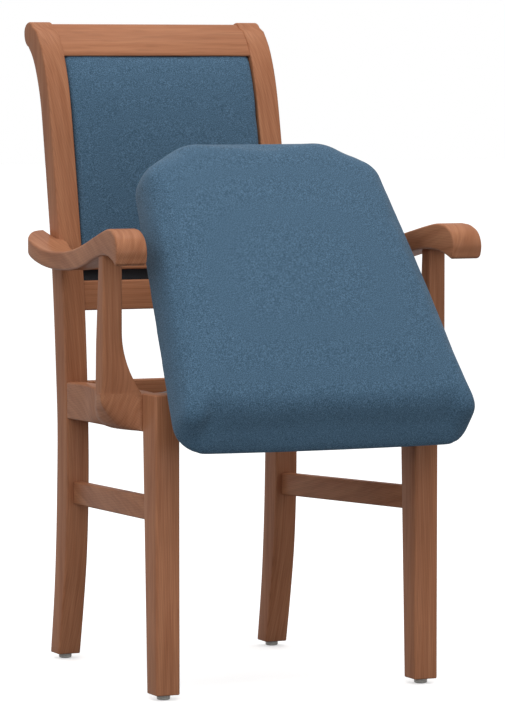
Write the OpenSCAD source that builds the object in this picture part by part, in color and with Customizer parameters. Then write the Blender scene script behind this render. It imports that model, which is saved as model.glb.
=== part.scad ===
// Upright wooden armchair whose seat tilts forward on a front hinge and lifts the sitter.
// Millimetres, +Z up, the chair faces -Y. The seat is shown raised.
// Inside the modules y = 0 is the front face of the front legs.

/* [Frame] */
// Width over the two front legs
front_w = 460; // [450:1:470]
// Width over the two rear legs
rear_w = 394; // [388:1:400]
// Width of a front leg, seen from the front
leg_w = 38; // [36:1:42]
// Depth of a front leg at its top
leg_top_d = 54; // [50:1:58]
// Depth of a front leg at its foot
leg_foot_d = 37; // [34:1:42]
// Height of the front legs above the floor
leg_h = 451; // [448:1:454]
// Width of a rear leg, seen from the front
rear_leg_w = 37; // [34:1:40]
// Height of a glide under each foot
glide_h = 8; // [6:1:10]
// Diameter of a glide
glide_d = 20; // [16:1:24]

/* [Rails] */
// Height of a side rail
rail_h = 57; // [52:1:60]
// Thickness of the rails
rail_t = 22; // [18:1:24]
// Height of a side stretcher
stretcher_h = 35; // [30:1:40]
// Thickness of a side stretcher
stretcher_t = 18; // [15:1:20]
// Length of a tenon inside a leg
tenon_l = 12; // [8:1:16]

/* [Arms] */
// Outer half width of an arm at its front end
arm_out = 296; // [290:1:300]
// Width of an arm at its front end
arm_w = 48; // [44:1:52]
// Width of an arm's upright, seen from the front
upright_w = 28; // [25:1:30]

/* [Seat] */
// Angle of the raised seat above the level seat
tilt = 54; // [30:1:54]
// Width of the seat pad at the front
pad_front_w = 486; // [480:1:488]
// Width of the seat pad at the back, where its sides would end without the cut corners
pad_rear_w = 380; // [376:1:384]
// Length of the seat pad
pad_l = 526; // [520:1:526]
// Thickness of the seat pad at its edge
pad_t = 58; // [50:1:60]
// Extra height of the crown in the middle of the seat pad
pad_crown = 17; // [4:1:20]
// Height of the lowered pad's underside
pad_z = 464; // [464:1:464]
// Reach of the lowered pad in front of the front legs
pad_reach = 60; // [50:1:60]
// Thickness of the plywood seat board
board_t = 12; // [10:1:14]

/* [Back] */
// Lower edge of the upholstered back panel
panel_low = 626; // [624:1:630]
// Upper edge of the upholstered back panel
panel_high = 944; // [940:1:946]
// Thickness of the back pad at its edge
back_pad_t = 22; // [18:1:26]
// Crown of the back pad
back_crown = 9; // [4:1:12]

/* [Lift mechanism] */
// Distance of the hinge shaft behind the front of the legs
hinge_y = 18; // [18:1:18]
// Height of the hinge shaft
hinge_z = 375; // [375:1:375]
// Radius of the hinge shaft
shaft_r = 6; // [5:0.5:7]
// Distance from the hinge shaft to the line of the gas struts
strut_h = 84; // [84:1:84]
// Slope of the gas struts, rising to the front
strut_slope = 8; // [8:1:8]
// Sideways place of each gas strut
strut_x = 92; // [84:1:100]
// Sideways place of each swan-neck arm
neck_x = 150; // [146:1:154]

/* [Hidden] */
$fn = 48;

wood = "sienna";
wood_dark = "saddlebrown";
cloth = "steelblue";
black = "dimgray";
steel = "silver";
plywood = "burlywood";
eps = 0.01;

// Smooth curve through hand-chosen points, as Catmull-Rom spans
function span_point(a, b, c, d, t) =
    0.5 * ((2 * b) + (c - a) * t + (2 * a - 5 * b + 4 * c - d) * t * t
           + (3 * b - a - 3 * c + d) * t * t * t);
function smooth(pts, steps = 4) = [
    for (i = [0:len(pts) - 2])
        let (a = pts[max(i - 1, 0)], b = pts[i], c = pts[i + 1], d = pts[min(i + 2, len(pts) - 1)])
        for (k = [0:steps - 1]) span_point(a, b, c, d, k / steps),
    pts[len(pts) - 1]
];
function arc(c, r, a0, a1, n) = [
    for (i = [0:n]) let (a = a0 + (a1 - a0) * i / n) [c[0] + r * cos(a), c[1] + r * sin(a)]
];
function turned(list) = [for (i = [len(list) - 1:-1:0]) list[i]];
function mix(a, b, t) = a + (b - a) * t;

// Profile of a rear leg and back post, as (y, z)
scroll_c = [598, 980];
scroll_r = 20;
post_front = smooth([
    [477, glide_h], [459, 90], [444, 180], [437, 300], [441, 430],
    [454, 580], [475, 700], [497, 815], [517, 900], [541, 956], [566, 986]
]);
post_back = smooth([
    [600, 959], [583, 944], [566, 917], [549, 874], [536, 812], [521, 730], [507, 650],
    [496, 560], [487, 460], [481, 370], [483, 280], [488, 190], [497, 100], [512, glide_h]
]);
post_front_by_z = [for (p = post_front) [p[1], p[0]]];
function post_y(z) = lookup(z, post_front_by_z);

// Heights of the frame's edges: the seat frame rises a little to the front
rail_front_z = 451;
rail_rear_z = 440;
leg_back_y = leg_top_d;
seat_rear_y = 438;
function rail_top(y) = mix(rail_front_z, rail_rear_z, (y - leg_back_y) / (seat_rear_y - leg_back_y));
function leg_depth(z) = mix(leg_foot_d, leg_top_d, (z - glide_h) / (leg_h - glide_h));
half_front = front_w / 2;
half_rear = rear_w / 2;
rear_in = half_rear - rear_leg_w;
front_in = half_front - leg_w;

// Plan of the arm's upright and the side rail
upright_y = 75;
upright_back_y = 112;
upright_out = 281;

// Outline of the seat pad: a trapezium whose rear corners are cut to clear the posts and whose
// front edge bows a little. A corner is [x, y, radius].
pad_bow = 4;
pad_cut_x = 116;
pad_cut_y = 50;
pad_right = [
    [pad_front_w / 2, 0, 58],
    [mix(pad_front_w, pad_rear_w, (pad_l - pad_cut_y) / pad_l) / 2, pad_l - pad_cut_y, 28],
    [pad_cut_x, pad_l, 40]
];
pad_corners = concat(pad_right, [for (c = turned(pad_right)) [-c[0], c[1], c[2]]]);
corner_steps = 7;
side_steps = 5;
function pad_side(a, b) = [for (i = [1:side_steps]) mix(a, b, i / (side_steps + 1))];
function edge_angle(a, b) = atan2(a[0] - b[0], b[1] - a[1]);
function pad_arc(k, side_in, front_in) =
    let (m = len(pad_corners), c = pad_corners[k],
         a = edge_angle(pad_corners[(k + m - 1) % m], c), b = edge_angle(c, pad_corners[(k + 1) % m]),
         u = [cos(a), sin(a)], v = [cos(b), sin(b)], middle = [c[0], c[1]] - c[2] * (u + v) / (1 + u * v))
    [for (i = [0:corner_steps])
        let (d = a + ((b - a + 360) % 360) * i / corner_steps,
             r = c[2] - mix(side_in, front_in, pow(max(0, -sin(d)), 2)))
        middle + r * [cos(d), sin(d)]];
function pad_outline(side_in, front_in) =
    let (m = len(pad_corners), arcs = [for (k = [0:m - 1]) pad_arc(k, side_in, front_in)],
         ring = [for (k = [0:m - 1])
             each concat(arcs[k], pad_side(arcs[k][corner_steps], arcs[(k + 1) % m][0]))])
    [for (p = ring) [p[0], p[1] + pad_bow * pow(2 * p[0] / pad_front_w, 2) * max(0, 1 - p[1] / 150)]];

// How far a rounded edge of radius r has drawn in at height h below its top t
function edge_in(h, t, r) = let (q = max(0, h - (t - r)) / r) r * (1 - sqrt(max(0, 1 - q * q)));
under_r = 8;
pad_side_r = 24;
pad_front_edge_r = 54;
function under_in(h) = h >= under_r ? 0 : under_r - sqrt(under_r * under_r - pow(under_r - h, 2));

// Rings of equal length closed by a fan at each end
module ring_loft(rings) {
    n = len(rings[0]);
    m = len(rings);
    middle = [for (k = [0, m - 1]) [for (c = [0:2]) let (s = [for (p = rings[k]) p[c]]) total(s) / n]];
    points = concat([for (r = rings) each r], middle);
    bottom = [for (i = [0:n - 1]) [m * n, i, (i + 1) % n]];
    top = [for (i = [0:n - 1]) [m * n + 1, (m - 1) * n + (i + 1) % n, (m - 1) * n + i]];
    sides = [for (k = [0:m - 2]) for (i = [0:n - 1]) for (half = [0, 1])
        let (a = k * n + i, b = k * n + (i + 1) % n)
        half == 0 ? [a, a + n, b] : [b, a + n, b + n]];
    polyhedron(points = points, faces = concat(bottom, sides, top));
}
function total(list, i = 0) = i == len(list) ? 0 : list[i] + total(list, i + 1);

// Everything that the seat carries is drawn lowered and turned up about the hinge
module raised() {
    translate([0, hinge_y, hinge_z]) rotate([tilt, 0, 0]) translate([0, -hinge_y, -hinge_z]) children();
}
// Moves the model so that the middle of its depth is at the origin
front_reach = min([for (h = [0:4:pad_t]) for (p = [0])
    let (y = -pad_reach + max(edge_in(h, pad_t, pad_front_edge_r), under_in(h)) - hinge_y,
         z = pad_z + h - hinge_z)
    hinge_y + y * cos(tilt) - z * sin(tilt)]);
rear_reach = scroll_c[0] + scroll_r;
mid_y = (front_reach + rear_reach) / 2;
module in_frame() {
    translate([0, -mid_y, 0]) children();
}
module right_side(left = false) {
    in_frame() mirror([left ? 1 : 0, 0, 0]) children();
}
// A profile drawn as (y, z), carried along X from x0 to x1
module slab(x0, x1, profile) {
    translate([x0, 0, 0]) rotate([90, 0, 90]) linear_extrude(x1 - x0) polygon(profile);
}

// Legs
module front_leg(left) {
    color(wood) right_side(left)
        slab(front_in, half_front, [[0, glide_h], [leg_foot_d, glide_h], [leg_top_d, leg_h], [0, leg_h]]);
}
module rear_leg(left) {
    color(wood) right_side(left)
        slab(rear_in, half_rear, concat(post_front, arc(scroll_c, scroll_r, 140, -85, 14), post_back));
}

// Seat frame
front_rail_y = 16;
front_rail_low = 398;
front_rail_high = 440;
rear_rail_y = 444;
module front_rail() {
    color(wood) in_frame()
        translate([-front_in - tenon_l, front_rail_y, front_rail_low])
            cube([2 * (front_in + tenon_l), rail_t, front_rail_high - front_rail_low]);
}
module rear_rail() {
    color(wood) in_frame() difference() {
        translate([-rear_in - tenon_l, rear_rail_y, rail_rear_z - rail_h])
            cube([2 * (rear_in + tenon_l), rail_t, rail_h]);
        for (s = [-1, 1]) scale_x(s) strut_line()
            translate([0, 0, tube_start - tube_l - stud_l]) cylinder(r = stud_r + 0.1, h = stud_l);
    }
}
// The side rail runs straight from leg to leg, and its outer face swells out under the upright
rail_side_t = 28;
swell_start = 350;
swell_end = 120;
swell_front = 84;
function rail_line(y) = mix(half_front, half_rear, (y - leg_top_d) / (seat_rear_y - leg_top_d));
function swell(y) =
    let (full = upright_out - rail_line(100))
    y >= swell_end ? full * pow(max(0, (swell_start - y) / (swell_start - swell_end)), 1.6)
    : y >= swell_front ? full
    : full * pow(max(0, (y - leg_top_d) / (swell_front - leg_top_d)), 2.2);
function rail_ring(y) =
    let (top = min(leg_h, rail_top(max(y, swell_end))), low = rail_top(y) - rail_h, out = rail_line(y), a = swell(y),
         outer = [for (q = [0.001, 0.25, 0.45, 0.62, 0.76, 0.88, 0.96, 0.999])
                  [out + a * sqrt(1 - q * q), y, mix(top, low, q)]])
    concat(outer, [[out, y, low], [out - rail_side_t, y, low], [out - rail_side_t, y, top], [out, y, top]]);
module side_rail(left) {
    stations = [leg_top_d, 58, 63, 69, 76, swell_front, 102, swell_end, 140, 165, 195, 230, 270, 310,
                swell_start, 400, seat_rear_y + tenon_l / 2];
    color(wood) right_side(left) ring_loft([for (y = stations) rail_ring(y)]);
}
module stretcher(left) {
    front_out = half_front - 10;
    rear_out = half_rear - 10;
    top = [297, 284];
    plan = [
        [front_out, leg_foot_d], [front_out - stretcher_t, leg_foot_d],
        [rear_out - stretcher_t, seat_rear_y + tenon_l], [rear_out, seat_rear_y + tenon_l]
    ];
    start = leg_depth(top[0]) - tenon_l / 2;
    end = seat_rear_y + tenon_l / 2;
    color(wood) right_side(left) intersection() {
        translate([0, 0, top[1] - 2 * stretcher_h]) linear_extrude(3 * stretcher_h) polygon(plan);
        slab(0, arm_out, [
            [start, top[0] - stretcher_h], [end, top[1] - stretcher_h], [end, top[1]], [start, top[0]]
        ]);
    }
}
block_z = 405;
block_h = 30;
module corner_blocks() {
    color(wood_dark) in_frame() for (s = [-1, 1]) scale_x(s) {
        translate([0, 0, block_z]) linear_extrude(block_h)
            polygon([[front_in - 4, leg_top_d], [front_in - 4, leg_top_d - 15],
                     [front_in - 44, front_rail_y + rail_t], [front_in - 6, 92]]);
        translate([0, 0, block_z - 6]) linear_extrude(block_h)
            polygon([[rear_in, rear_rail_y], [rear_in - 54, rear_rail_y], [rear_in + 14, rear_rail_y - 58],
                     [rear_in + 7, seat_rear_y - 1], [rear_in, seat_rear_y - 1]]);
    }
}
module scale_x(s) {
    mirror([s < 0 ? 1 : 0, 0, 0]) children();
}
module glides() {
    color("lightgray") in_frame() for (s = [-1, 1]) {
        translate([s * (half_front - leg_w / 2), leg_foot_d / 2, 0]) cylinder(d = glide_d, h = glide_h);
        translate([s * (half_rear - rear_leg_w / 2), 495, 0]) cylinder(d = glide_d, h = glide_h);
    }
}

// Arm: a side profile, as (y, z), cut out along the plan, as (x, y)
arm_top = smooth([
    [-10, 652], [-13, 663], [-9, 676], [1, 686], [20, 693], [42, 694], [74, 689], [123, 679],
    [166, 670], [202, 663], [245, 656], [300, 650], [355, 648], [405, 651], [467, 661], [532, 674]
]);
arm_under = smooth([
    [532, 650], [467, 635], [405, 625], [355, 621], [310, 621], [258, 624], [196, 632], [135, 645],
    [87, 653], [48, 654], [22, 650], [6, 645], [-3, 642], [-8, 645]
]);
arm_plan = concat(
    smooth([[arm_out - arm_w, -30], [arm_out - arm_w, 0], [241, 90], [229, 220], [215, 350], [half_rear - 8, 452]]),
    [[half_rear - 8, 470], [half_rear, 470], [half_rear, 530]],
    smooth([[half_rear + 7, 531], [222, 522], [240, 492], [249, 460], [254, 410], [256, 350], [259, 290],
            [269, 200], [281, 110], [290, 40], [arm_out, -8], [arm_out, -30]])
);
module armrest(left) {
    color(wood) right_side(left) difference() {
        intersection() {
            slab(0, arm_out + 10, concat(arm_top, arm_under));
            translate([0, 0, 600]) linear_extrude(120) polygon(arm_plan);
        }
        slab(0, half_rear, concat(post_front, arc(scroll_c, scroll_r, 140, -85, 14), post_back));
    }
}
// Upright under the arm, whose inner front edge sweeps in to the leg's top
function upright_ring(z) =
    let (cove = pow(max(0, min(1, (540 - z) / (540 - leg_h))), 2),
         inner = [mix(upright_out - 29, half_front, cove), mix(upright_y, leg_top_d, cove)],
         flare = pow(max(0, min(1, (500 - z) / (500 - leg_h))), 2),
         back = mix(104, upright_back_y, min(1, (653 - z) / 130)) + 8 * flare)
    [[upright_out - mix(0, 3, (z - leg_h) / 200), back, z],
     [upright_out, upright_y + 4 + 5 * flare, z],
     [inner[0], inner[1], z],
     [upright_out - upright_w - 6 * flare, back, z]];
module arm_support(left) {
    levels = [leg_h, 456, 462, 470, 480, 490, 500, 510, 520, 530, 540, 600];
    arm_slope = 0.17;
    arm_base = 653;
    top_ring = [for (p = upright_ring(640)) [p[0], p[1], arm_base - arm_slope * (p[1] - 87) - 0.5]];
    color(wood) right_side(left)
        ring_loft(concat([for (z = levels) upright_ring(z)], [top_ring]));
}

// Back
crest_low = 946;
crest_in = 3;
crest_t = 30;
module crest_rail() {
    front = [for (p = post_front) if (p[1] > crest_low) [p[0] + crest_in, p[1]]];
    profile = concat(
        [[post_y(crest_low) + crest_in, crest_low]], front,
        arc(scroll_c, scroll_r - crest_in, 140, -85, 14),
        [[582 + crest_in, 947], [post_y(crest_low) + crest_t, crest_low]]);
    color(wood) in_frame() slab(-rear_in - tenon_l, rear_in + tenon_l, profile);
}
lower_rail_z = 550;
lower_rail_h = 46;
slot_h = 17;
strip_h = 13;
module back_bar(z, h, t) {
    color(wood) in_frame() slab(-rear_in - tenon_l, rear_in + tenon_l, [
        [post_y(z) + 3, z], [post_y(z) + 3 + t, z], [post_y(z + h) + 3 + t, z + h], [post_y(z + h) + 3, z + h]
    ]);
}
module lower_back_rail() {
    back_bar(lower_rail_z, lower_rail_h, rail_t);
}
module back_panel_rail() {
    back_bar(lower_rail_z + lower_rail_h + slot_h, strip_h, rail_t);
}
// Curved sheet that follows the posts, from y offset a to b
module back_sheet(a, b, z0, z1, half_w) {
    heights = [for (i = [0:12]) mix(z0, z1, i / 12)];
    slab(-half_w, half_w, concat(
        [for (z = heights) [post_y(z) + a, z]], [for (z = turned(heights)) [post_y(z) + b, z]]));
}
back_recess = 4;
module back_board() {
    color(plywood) in_frame()
        back_sheet(back_recess + back_pad_t, back_recess + back_pad_t + 8, panel_low, panel_high, rear_in);
}
module back_cover() {
    color(cloth) in_frame()
        back_sheet(back_recess + back_pad_t + 8.3, back_recess + back_pad_t + 11.3,
                   panel_low + 4, panel_high - 4, rear_in - 2);
}
module back_lining() {
    color(black) in_frame()
        back_sheet(16, 18, lower_rail_z + lower_rail_h, lower_rail_z + lower_rail_h + slot_h, rear_in);
}
// Back pad: a crowned panel bent to the posts' curve
back_gap = 3;
back_corner_r = 10;
function panel_ring(inset, depth) =
    let (hw = rear_in - back_gap - inset, z0 = panel_low + 1 + inset, z1 = panel_high - 1 - inset,
         r = max(1, back_corner_r - inset),
         quarter = [[hw - r, z0 + r, -90], [hw - r, z1 - r, 0], [-hw + r, z1 - r, 90], [-hw + r, z0 + r, 180]],
         corners = [for (q = quarter) arc([q[0], q[1]], r, q[2], q[2] + 90, 3)],
         flat_ring = [for (i = [0:3]) let (next = corners[(i + 1) % 4][0], last = corners[i][3])
             each concat(corners[i], [for (k = [1:9]) mix(last, next, k / 10)])])
    [for (p = flat_ring) [p[0], post_y(p[1]) + back_recess + back_pad_t - depth, p[1]]];
module back_pad() {
    rear = [for (i = [150, 120, 80, 40, 15]) [i, 0.8]];
    edge = [[0, 0.8], [0, 6], [0, 12], [1.5, 16], [5, 20], [11, back_pad_t]];
    crown = [for (c = [0.25, 0.5, 0.75, 0.95]) [mix(11, 150, c), back_pad_t + back_crown * (1 - pow(1 - c, 2))]];
    color(cloth) in_frame() ring_loft([for (e = concat(rear, edge, crown)) panel_ring(e[0], e[1])]);
}

// Seat pad, drawn lowered: a crowned cushion pulled in under its board
module seat_pad() {
    pocket_in = 12;
    low = [[pocket_in, board_t], [pocket_in, 0]];
    edge = [for (h = [0, 1, 3, under_r, 20, pad_t - pad_side_r, 40, 46, 51, 55, pad_t - 0.8]) h];
    rings = concat(
        [for (p = low) [for (q = pad_outline(p[0], p[0])) [q[0], q[1], p[1]]]],
        [for (h = edge) let (u = under_in(h))
            [for (q = pad_outline(edge_in(h, pad_t, pad_side_r) + u, edge_in(h, pad_t, pad_front_edge_r) + u))
                [q[0], q[1], h]]],
        [for (c = [0.12, 0.3, 0.5, 0.7, 0.9])
            let (last = pad_outline(pad_side_r - 6, pad_front_edge_r - 9), mid = [0, pad_l / 2])
            [for (q = last) let (p = mix(q, mid, c)) [p[0], p[1], pad_t + pad_crown * (1 - pow(1 - c, 2.5))]]]);
    color(cloth) in_frame() raised() translate([0, -pad_reach, pad_z]) ring_loft(rings);
}
module pad_plate(inset, z0, z1) {
    translate([0, -pad_reach, pad_z + z0]) linear_extrude(z1 - z0) polygon(pad_outline(inset, inset));
}
module seat_board() {
    color(plywood) in_frame() raised() pad_plate(12.3, 0, board_t - 0.3);
}
module seat_lining() {
    color(black) in_frame() raised() pad_plate(16, -1, 0);
}
module seat_buffers() {
    color(black) in_frame() for (s = [-1, 1]) {
        translate([s * 122.8, front_rail_y + rail_t / 2, front_rail_high])
            cylinder(d = 13, h = pad_z - 1.3 - front_rail_high);
        translate([s * 140, 428, block_z - 6 + block_h]) cylinder(d = 18, h = pad_z - 1.3 - block_z + 6 - block_h);
    }
}

// Hinge
hinge = [0, hinge_y, hinge_z];
bush_r = 9;
ear_r = 13;
ear_t = 6;
ear_x = 134;
plate_t = 3;
run_gap = 0.05;
module along_x(x0, x1, r) {
    translate([x0, 0, 0]) rotate([0, 90, 0]) cylinder(r = r, h = x1 - x0);
}
module hinge_shaft() {
    color(steel) in_frame() translate(hinge) along_x(-neck_x - 8, neck_x + 8, shaft_r);
}
module shaft_collars() {
    color(steel) in_frame() translate(hinge) for (s = [-1, 1]) scale_x(s) difference() {
        along_x(neck_x + 3, neck_x + 8, shaft_r + 4);
        along_x(neck_x, neck_x + 10, shaft_r);
    }
}
screw_r = 2.4;
module pivot_bracket(left) {
    color(steel) right_side(left) difference() {
        union() {
            translate([ear_x - ear_t / 2, hinge_y, hinge_z]) along_x(0, ear_t, ear_r);
            translate([ear_x - ear_t / 2, hinge_y - ear_r, hinge_z])
                cube([ear_t, 2 * ear_r, front_rail_low - hinge_z]);
            translate([ear_x - 34, front_rail_y, front_rail_low - plate_t]) cube([34, rail_t, plate_t]);
        }
        translate([0, hinge_y, hinge_z]) along_x(ear_x - ear_t, ear_x + ear_t, bush_r);
        for (x = [ear_x - 26, ear_x - 12])
            translate([x, front_rail_y + rail_t / 2, front_rail_low - 2 * plate_t]) cylinder(r = screw_r + 0.1, h = 20);
    }
}
module hinge_bush(left) {
    color("gold") right_side(left) translate([0, hinge_y, hinge_z]) difference() {
        union() {
            along_x(ear_x - ear_t / 2, ear_x + ear_t / 2, bush_r);
            along_x(ear_x + ear_t / 2, ear_x + ear_t / 2 + 2, ear_r - 1);
        }
        along_x(ear_x - 2 * ear_t, ear_x + 2 * ear_t, shaft_r + run_gap);
    }
}
module screw(l, head_r = 4.6) {
    cylinder(r = screw_r, h = l);
    translate([0, 0, -2.2]) cylinder(r1 = head_r - 1.4, r2 = head_r, h = 2.2);
}
module bracket_screws() {
    color(steel) in_frame() for (s = [-1, 1]) for (x = [ear_x - 26, ear_x - 12])
        translate([s * x, front_rail_y + rail_t / 2, front_rail_low - plate_t]) screw(18);
}
// Swan-neck arm: passes in front of the front rail and carries the seat board
neck_t = 6;
neck_w = 22;
module swan_neck(left) {
    z_top = pad_z - 1 - hinge_z;
    outer = smooth([[-12, 2], [-20, 22], [-35, 48], [-43, 70], [-36, z_top]], 5);
    inner = smooth([[-4, z_top - 5], [-13, 72], [-15, 50], [-6, 26], [10, 8]], 5);
    color("dimgray") right_side(left) raised() translate([neck_x - neck_t / 2, hinge_y, hinge_z]) difference() {
        union() {
            along_x(0, neck_t, 12);
            slab(0, neck_t, concat(outer, [[150, z_top], [150, z_top - 5]], inner));
            translate([-neck_w + neck_t, -30, z_top - plate_t]) cube([neck_w, 180, plate_t]);
        }
        along_x(-1, neck_t + 1, shaft_r);
        for (y = [0, 60, 120]) translate([-8, y, z_top - 10]) cylinder(r = screw_r + 0.1, h = 20);
    }
}
module neck_screws() {
    color(steel) in_frame() raised() for (s = [-1, 1]) for (y = [0, 60, 120])
        translate([s * (neck_x - neck_t / 2 - 8), hinge_y + y, pad_z - 1 - plate_t]) screw(12);
}

// Gas struts: each lies on a fixed line, and its rod's cross pin runs in a slotted lever on the seat
half_swing = tilt / 2;
strut_reach = strut_h * tan(half_swing);
pin_r = 4;
rod_r = 5;
tube_r = 11;
tube_front = 72;
tube_l = 178;
stud_r = 5;
stud_l = 140;
nut_h = 6;
// Puts x = 0 .. on the strut's line, pointing forward and up from its middle point
module strut_line() {
    translate([strut_x, hinge_y + strut_h * sin(strut_slope), hinge_z + strut_h * cos(strut_slope)])
        rotate([-strut_slope, 0, 0]) rotate([90, 0, 0]) children();
}
pin_travel = 2 * strut_reach;
tube_start = -strut_reach - tube_front;
module strut_cylinder(left) {
    color("dimgray") right_side(left) strut_line() difference() {
        union() {
            translate([0, 0, tube_start - tube_l]) cylinder(r = tube_r, h = tube_l);
            translate([0, 0, tube_start - tube_l - stud_l]) cylinder(r = stud_r, h = stud_l + eps);
        }
        translate([0, 0, tube_start - tube_l + 10]) cylinder(r = rod_r + run_gap, h = tube_l);
    }
}
module strut_rod(left) {
    color(steel) right_side(left) strut_line() {
        translate([0, 0, tube_start - 60]) cylinder(r = rod_r, h = strut_reach - tube_start + 60 - 6);
        difference() {
            translate([0, 0, strut_reach]) rotate([0, 90, 0]) translate([0, 0, -6]) cylinder(r = 8, h = 12);
            translate([0, 0, strut_reach]) rotate([0, 90, 0]) translate([0, 0, -7]) cylinder(r = pin_r - 1, h = 14);
        }
        translate([0, 0, strut_reach]) rotate([0, 90, 0]) translate([0, 0, -13]) cylinder(r = pin_r, h = 26);
    }
}
// One nut and washer on each side of the rear rail
function along_strut(y) = (hinge_y + strut_h * sin(strut_slope) - y) / cos(strut_slope);
module strut_nuts() {
    faces = [along_strut(rear_rail_y) + 1.2, along_strut(rear_rail_y + rail_t) - 1.2 - nut_h];
    color(steel) in_frame() for (s = [-1, 1]) scale_x(s) strut_line()
        for (z = faces) translate([0, 0, z]) difference() {
            cylinder(r = 8.5, h = nut_h, $fn = 6);
            translate([0, 0, -1]) cylinder(r = stud_r, h = nut_h + 2);
        }
}
// Wooden bar that carries the front ends of the two cylinders
bar_y = 190;
bar_t = 24;
bar_low = 394;
bar_high = 419;
bar_half = 206;
module mechanism_bar() {
    color(wood_dark) in_frame()
        translate([-bar_half, bar_y, bar_low]) cube([2 * bar_half, bar_t, bar_high - bar_low]);
}
function strut_z(y) = hinge_z + strut_h * cos(strut_slope)
    - (y - hinge_y - strut_h * sin(strut_slope)) * tan(strut_slope);
module strut_saddles() {
    saddle_w = 34;
    color("dimgray") in_frame() for (s = [-1, 1]) difference() {
        translate([s * strut_x - saddle_w / 2, bar_y + 2, bar_high])
            cube([saddle_w, bar_t - 4, strut_z(bar_y) + 6 - bar_high]);
        scale_x(s) strut_line() translate([0, 0, tube_start - tube_l]) cylinder(r = tube_r, h = tube_l);
    }
}
// Slotted lever: two cheeks under the seat board, one on each side of the rod's eye
lever_a = 90 - half_swing - strut_slope;
slot_near = strut_h - 1.5;
slot_far = strut_h / cos(half_swing) + 1;
slot_half = pin_r + 1.5;
cheek_t = 3;
module slot_lever(left) {
    z_top = pad_z - 1 - hinge_z;
    color("dimgray") right_side(left) raised() translate([strut_x, hinge_y, hinge_z]) difference() {
        union() for (s = [-1, 1]) translate([s * 9 - cheek_t / 2, 0, 0]) {
            rotate([lever_a, 0, 0]) translate([0, slot_near - slot_half - 2, -9.5])
                cube([cheek_t, slot_far - slot_near + 2 * slot_half + 1, 19]);
            translate([0, 24, z_top - 16]) cube([cheek_t, 62, 16]);
            translate([s < 0 ? -12 : 0, 24, z_top - plate_t]) cube([12 + cheek_t, 62, plate_t]);
        }
        rotate([lever_a, 0, 0]) for (r = [slot_near, slot_far])
            translate([-20, r, 0]) rotate([0, 90, 0]) cylinder(r = slot_half, h = 40);
        rotate([lever_a, 0, 0]) translate([-20, slot_near, -slot_half])
            cube([40, slot_far - slot_near, 2 * slot_half]);
        translate([-40, 0, z_top]) cube([80, 200, 40]);
        for (s = [-1, 1]) for (y = [32, 78]) translate([s * 17, y, z_top - 10]) cylinder(r = screw_r + 0.1, h = 20);
    }
}
module lever_screws() {
    color(steel) in_frame() raised() for (s = [-1, 1]) for (k = [-17, 17]) for (y = [32, 78])
        translate([s * strut_x + k, hinge_y + y, pad_z - 1 - plate_t]) screw(12, 4);
}
module arm_dowels() {
    color(wood_dark) in_frame() for (s = [-1, 1]) {
        translate([s * 265, 92, 625]) cylinder(r = 5, h = 34);
        translate([s * (half_rear - 12), 490, 648]) rotate([0, s * 90, 0]) cylinder(r = 4, h = 26);
    }
}

front_leg(true);  // front_leg_left
front_leg(false);  // front_leg_right
rear_leg(true);  // rear_leg_left
rear_leg(false);  // rear_leg_right
front_rail();
rear_rail();
side_rail(true);  // side_rail_left
side_rail(false);  // side_rail_right
arm_support(true);  // arm_support_left
arm_support(false);  // arm_support_right
armrest(true);  // armrest_left
armrest(false);  // armrest_right
stretcher(true);  // stretcher_left
stretcher(false);  // stretcher_right
corner_blocks();
glides();
crest_rail();
back_panel_rail();
lower_back_rail();
back_board();
back_pad();
back_cover();
back_lining();
seat_board();
seat_pad();
seat_lining();
seat_buffers();
hinge_shaft();
shaft_collars();
pivot_bracket(true);  // pivot_bracket_left
pivot_bracket(false);  // pivot_bracket_right
hinge_bush(true);  // hinge_bush_left
hinge_bush(false);  // hinge_bush_right
swan_neck(true);  // swan_neck_left
swan_neck(false);  // swan_neck_right
mechanism_bar();
strut_cylinder(true);  // strut_cylinder_left
strut_cylinder(false);  // strut_cylinder_right
strut_nuts();
strut_saddles();
strut_rod(true);  // strut_rod_left
strut_rod(false);  // strut_rod_right
slot_lever(true);  // slot_lever_left
slot_lever(false);  // slot_lever_right
bracket_screws();
neck_screws();
lever_screws();
arm_dowels();
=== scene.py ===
import math

import bmesh
import bpy
import numpy as np
from bpy.props import FloatProperty, FloatVectorProperty, PointerProperty, StringProperty
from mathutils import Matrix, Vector


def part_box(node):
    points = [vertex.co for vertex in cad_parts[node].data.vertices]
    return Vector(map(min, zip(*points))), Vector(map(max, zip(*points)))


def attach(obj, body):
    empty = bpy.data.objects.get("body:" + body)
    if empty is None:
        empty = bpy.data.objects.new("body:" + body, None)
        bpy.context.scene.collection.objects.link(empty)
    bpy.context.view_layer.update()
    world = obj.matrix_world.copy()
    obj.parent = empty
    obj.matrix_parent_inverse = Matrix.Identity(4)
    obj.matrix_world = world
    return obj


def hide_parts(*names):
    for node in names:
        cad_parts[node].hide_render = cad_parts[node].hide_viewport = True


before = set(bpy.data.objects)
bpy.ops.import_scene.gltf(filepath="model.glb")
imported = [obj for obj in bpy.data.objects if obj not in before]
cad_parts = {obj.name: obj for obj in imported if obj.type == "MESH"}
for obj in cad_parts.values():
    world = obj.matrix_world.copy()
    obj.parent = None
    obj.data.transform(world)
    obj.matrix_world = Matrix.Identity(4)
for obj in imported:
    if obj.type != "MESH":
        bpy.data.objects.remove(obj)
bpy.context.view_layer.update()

bl_info = {
    "name": "Lift Chair",
    "version": (1, 0, 0),
    "blender": (4, 5, 0),
    "location": "View3D > Sidebar > Lift Chair",
    "description": "Upright wooden armchair with an upholstered seat that tilts forward to lift the sitter",
    "category": "Add Mesh",
}

MM = 0.001
# Height, depth and turn of the shapes are in millimetres from the front face of the front legs
LEG_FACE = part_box("front_leg_left")[0].y / MM
SIDES = {"left": -1, "right": 1}


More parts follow.
